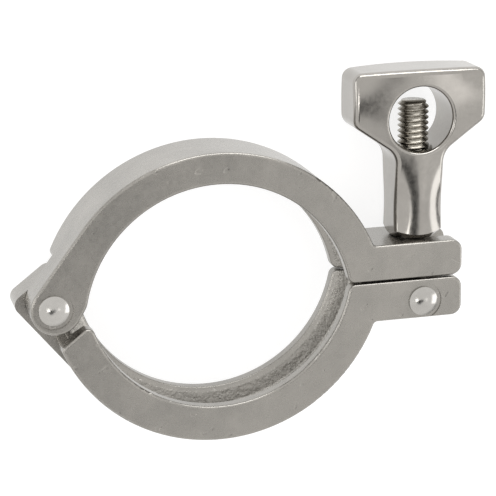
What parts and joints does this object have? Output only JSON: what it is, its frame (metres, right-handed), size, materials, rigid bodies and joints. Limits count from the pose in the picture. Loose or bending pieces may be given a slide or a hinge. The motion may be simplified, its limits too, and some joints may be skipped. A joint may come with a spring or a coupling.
{
  "type": "sanitary hinged clamp",
  "caption": "Hinged two-half stainless clamp that closes a grooved ring round a pair of sanitary pipe flanges, drawn tight by a wing nut on a swing bolt.",
  "frame": {"origin": "middle of the closed ring, on the parting plane and half way through its depth", "axes": "+Z along the pipe, towards the riveted heads; +Y towards the wing nut; +X from the hinge to the bolt"},
  "size_m": [0.1207, 0.0913, 0.0199],
  "materials": {
    "cast_steel": "satin, lightly polished investment casting",
    "pin_steel": "satin",
    "thread_steel": "as rolled, a little brighter on the thread",
    "nut_steel": "satin, lightly polished casting"
  },
  "bodies": {
    "lower_half": {"lower_half": "cast_steel", "bolt_pin": "pin_steel"},
    "upper_half": {"upper_half": "cast_steel", "hinge_pin": "pin_steel"},
    "swing_bolt": {"swing_bolt": "thread_steel"},
    "wing_nut": {"wing_nut": "nut_steel"}
  },
  "joints": [
    {"name": "clamp_hinge", "type": "hinge", "parent": "lower_half", "child": "upper_half", "pos_m": [-0.0418, 0, 0], "axis": [0, 0, 1], "range_deg": [0, 110]},
    {"name": "bolt_swing", "type": "hinge", "parent": "lower_half", "child": "swing_bolt", "pos_m": [0.0532, -0.006, 0], "axis": [0, 0, -1], "range_deg": [0, 90]},
    {"name": "nut_travel", "type": "slide", "parent": "swing_bolt", "child": "wing_nut", "axis": [0, 1, 0], "range_m": [0, 0.0296]}
  ],
  "couplings": [
    {"joint": "bolt_swing", "follows": "nut_travel", "rad_per_m": 53},
    {"joint": "clamp_hinge", "follows": "nut_travel", "rad_per_m": 6.6}
  ]
}
